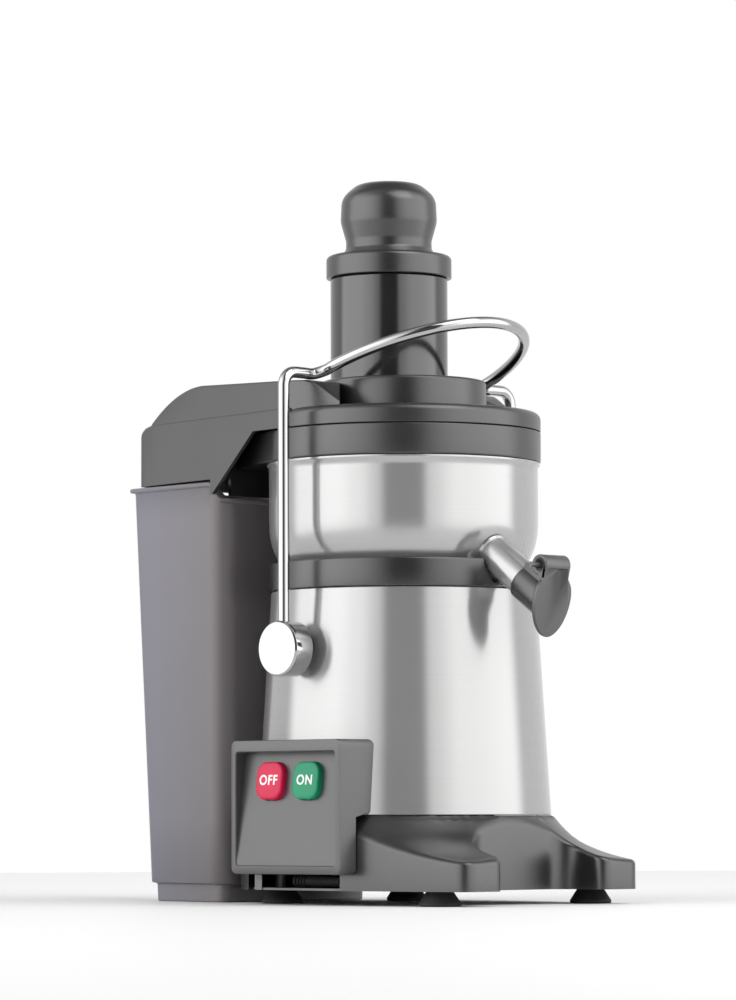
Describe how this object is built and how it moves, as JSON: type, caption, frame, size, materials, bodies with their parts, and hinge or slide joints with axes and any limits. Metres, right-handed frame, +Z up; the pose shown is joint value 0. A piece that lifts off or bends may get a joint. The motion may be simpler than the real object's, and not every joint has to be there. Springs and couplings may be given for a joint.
{
  "type": "centrifugal juicer",
  "caption": "Centrifugal juicer with a feed tube and pusher, a steel bail over the lid, a juice spout with a drip flap and a rear pulp container.",
  "frame": {"origin": "middle of the footprint on the bench plane", "axes": "+Z up; -Y towards the juice spout; +Y towards the pulp container; -X towards the buttons"},
  "size_m": [0.2376, 0.3576, 0.505],
  "materials": {
    "black_plastic": "fine satin charcoal black",
    "gloss_black": "polished black",
    "grey_plastic": "fine satin grey",
    "smoke_plastic": "translucent smoke",
    "red_button": "satin",
    "green_button": "satin",
    "rubber": "matt",
    "brushed_steel": "brushed round the body",
    "chrome": "polished",
    "plain_steel": "plain",
    "cast_alloy": "as cast",
    "copper": "enamelled wire",
    "inner_plastic": "moulded"
  },
  "bodies": {
    "main_body": {"bowl": "brushed_steel", "base_moulding": "black_plastic", "lid_cover": "black_plastic", "feed_tube": "gloss_black", "switch_box": "grey_plastic", "base_plate": "plain_steel", "bowl_seat_ring": "black_plastic", "motor_housing": "brushed_steel", "spout_collar": "black_plastic", "end_bell_lower": "cast_alloy", "end_bell_upper": "cast_alloy", "bowl_rim_ring": "black_plastic", "pivot_bush_left": "black_plastic", "pivot_bush_right": "black_plastic", "spout_tube": "brushed_steel", "motor_mount_plate": "plain_steel", "lid_gasket": "rubber", "motor_stator": "plain_steel", "bearing_lower": "plain_steel", "bearing_upper": "plain_steel", "winding_lower": "copper", "winding_upper": "copper", "shaft_seal": "rubber", "cable_gland": "rubber", "off_switch": "inner_plastic", "on_switch": "inner_plastic", "pivot_pin_left": "plain_steel", "pivot_pin_right": "plain_steel", "foot_front_left": "rubber", "foot_front_right": "rubber", "foot_rear_left": "rubber", "foot_rear_right": "rubber", "isolator_1": "rubber", "isolator_2": "rubber", "isolator_3": "rubber", "isolator_4": "rubber", "capacitor": "inner_plastic", "flap_hinge_pin": "chrome", "terminal_block": "inner_plastic", "interlock_switch": "inner_plastic"},
    "spin_group": {"motor_shaft": "plain_steel", "rotor_core": "plain_steel", "cooling_fan": "inner_plastic", "drive_hub": "inner_plastic", "filter_basket": "brushed_steel", "grater_disc": "brushed_steel", "basket_nut": "inner_plastic"},
    "bail": {"bail_rod": "chrome", "pivot_knob_left": "chrome", "pivot_knob_right": "chrome"},
    "pusher": {"pusher": "black_plastic"},
    "pulp_container": {"pulp_container": "smoke_plastic"},
    "drip_flap": {"drip_flap": "black_plastic"},
    "off_button": {"off_button": "red_button"},
    "on_button": {"on_button": "green_button"}
  },
  "joints": [
    {"name": "basket_spin", "type": "hinge", "parent": "main_body", "child": "spin_group", "pos_m": [0, -0.03085, 0.24], "axis": [0, 0, 1], "continuous": true},
    {"name": "bail_swing", "type": "hinge", "parent": "main_body", "child": "bail", "pos_m": [0, -0.02735, 0.174], "axis": [1, 0, 0], "range_deg": [0, 105]},
    {"name": "pusher_slide", "type": "slide", "parent": "main_body", "child": "pusher", "axis": [0, 0, 1], "range_m": [0, 0.17]},
    {"name": "container_slide", "type": "slide", "parent": "main_body", "child": "pulp_container", "axis": [0, 1, 0], "range_m": [0, 0.15]},
    {"name": "flap_hinge", "type": "hinge", "parent": "main_body", "child": "drip_flap", "pos_m": [0, -0.17185, 0.229], "axis": [-1, 0, 0], "range_deg": [0, 80]},
    {"name": "off_button_press", "type": "slide", "parent": "main_body", "child": "off_button", "axis": [0.9923, 0, -0.1237], "range_m": [0, 0.003], "stiffness_N_per_m": 800},
    {"name": "on_button_press", "type": "slide", "parent": "main_body", "child": "on_button", "axis": [0.9923, 0, -0.1237], "range_m": [0, 0.003], "stiffness_N_per_m": 800}
  ]
}
